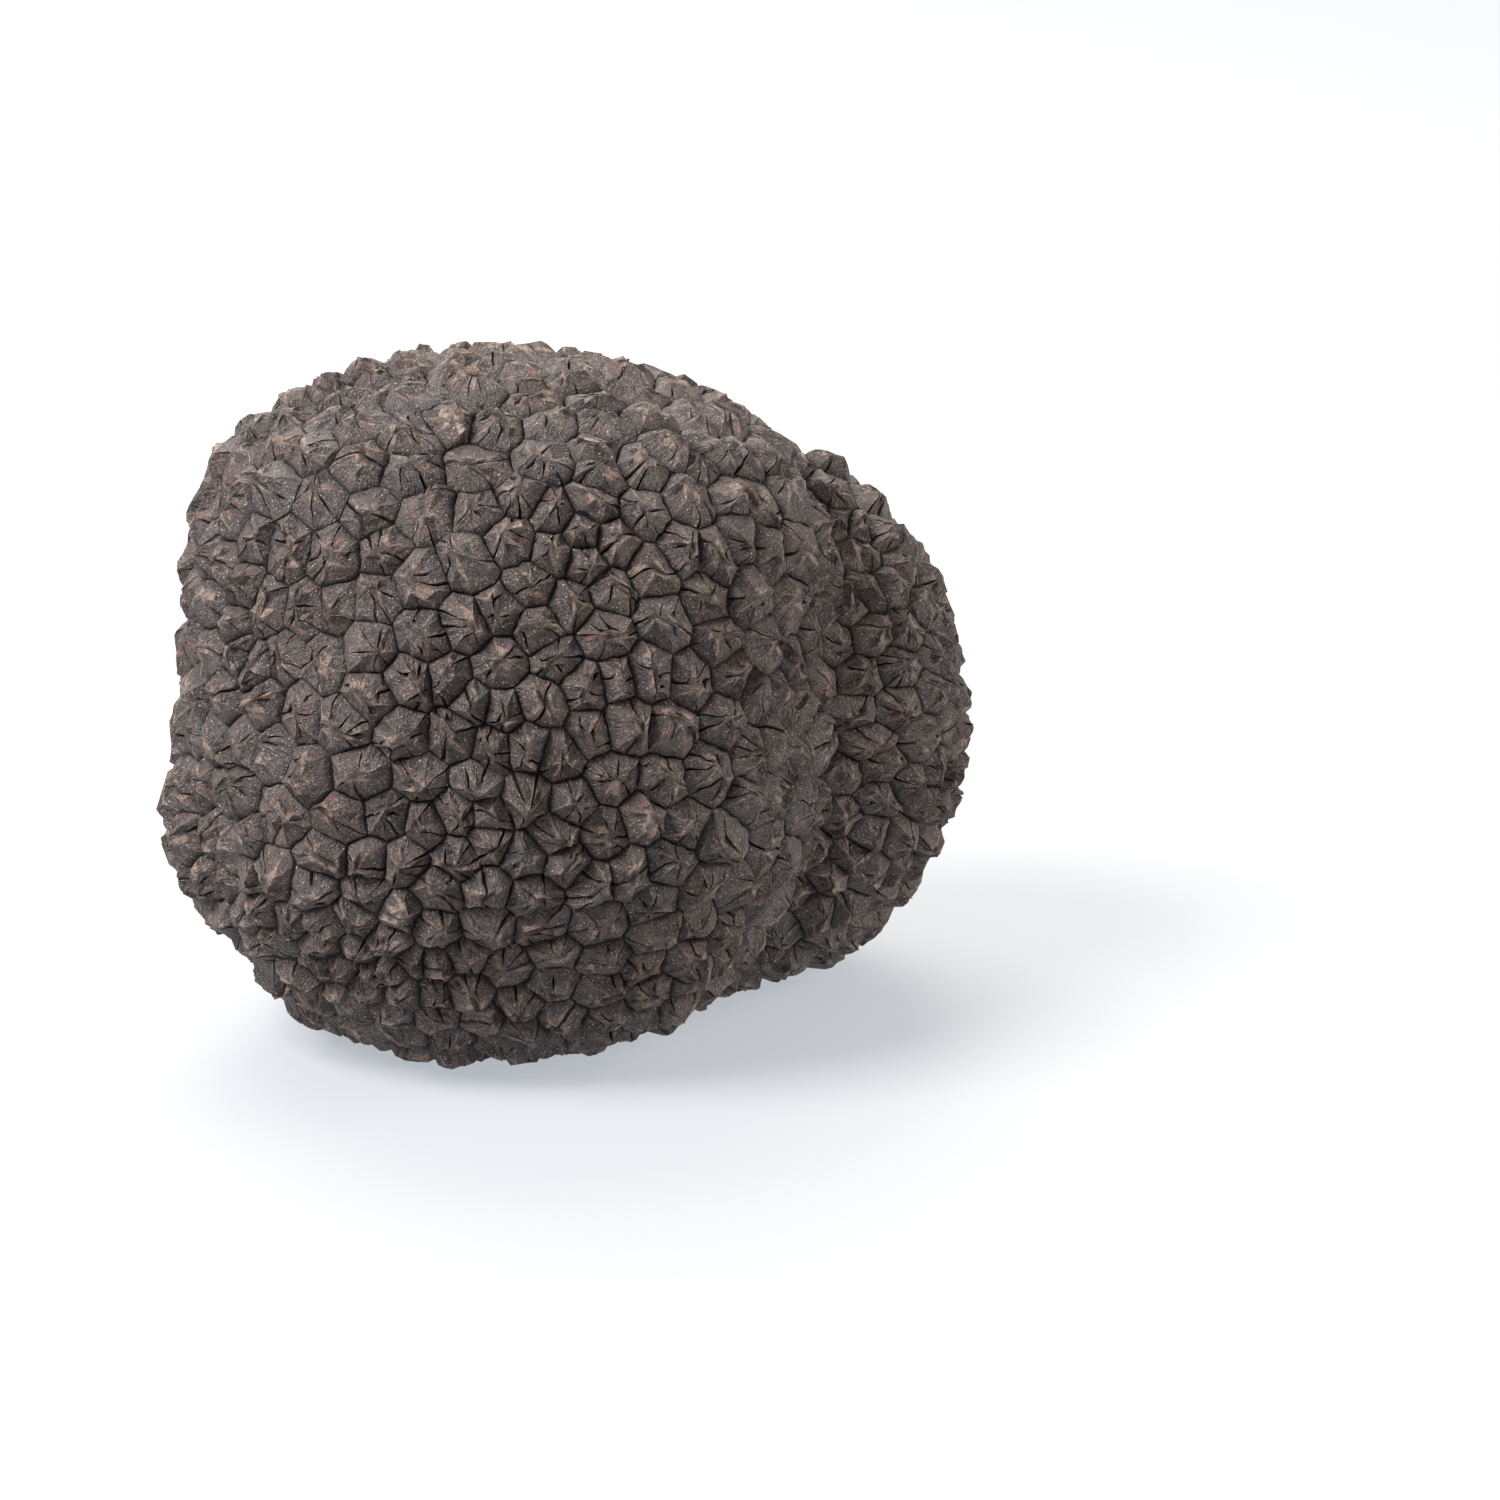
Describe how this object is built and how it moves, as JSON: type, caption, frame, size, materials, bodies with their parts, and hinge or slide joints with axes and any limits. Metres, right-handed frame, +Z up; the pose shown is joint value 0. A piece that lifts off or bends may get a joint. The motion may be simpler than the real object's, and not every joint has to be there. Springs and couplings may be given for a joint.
{
  "type": "summer truffle",
  "caption": "Whole black summer truffle: a rounded two-lobed tuber covered in polygonal pyramid warts with narrow dark grooves, resting on a small flat spot.",
  "frame": {"origin": "on the surface it rests on, under the middle of its box", "axes": "+Z up, +X along its long side towards the smaller lobe, -Y the side that faces the picture"},
  "size_m": [0.065, 0.0546, 0.0543],
  "materials": {
    "skin": "dry, dark brown-black, cracked warts, matte with a slight sheen on the facets"
  },
  "bodies": {
    "root": {"truffle": "skin"}
  },
  "joints": []
}
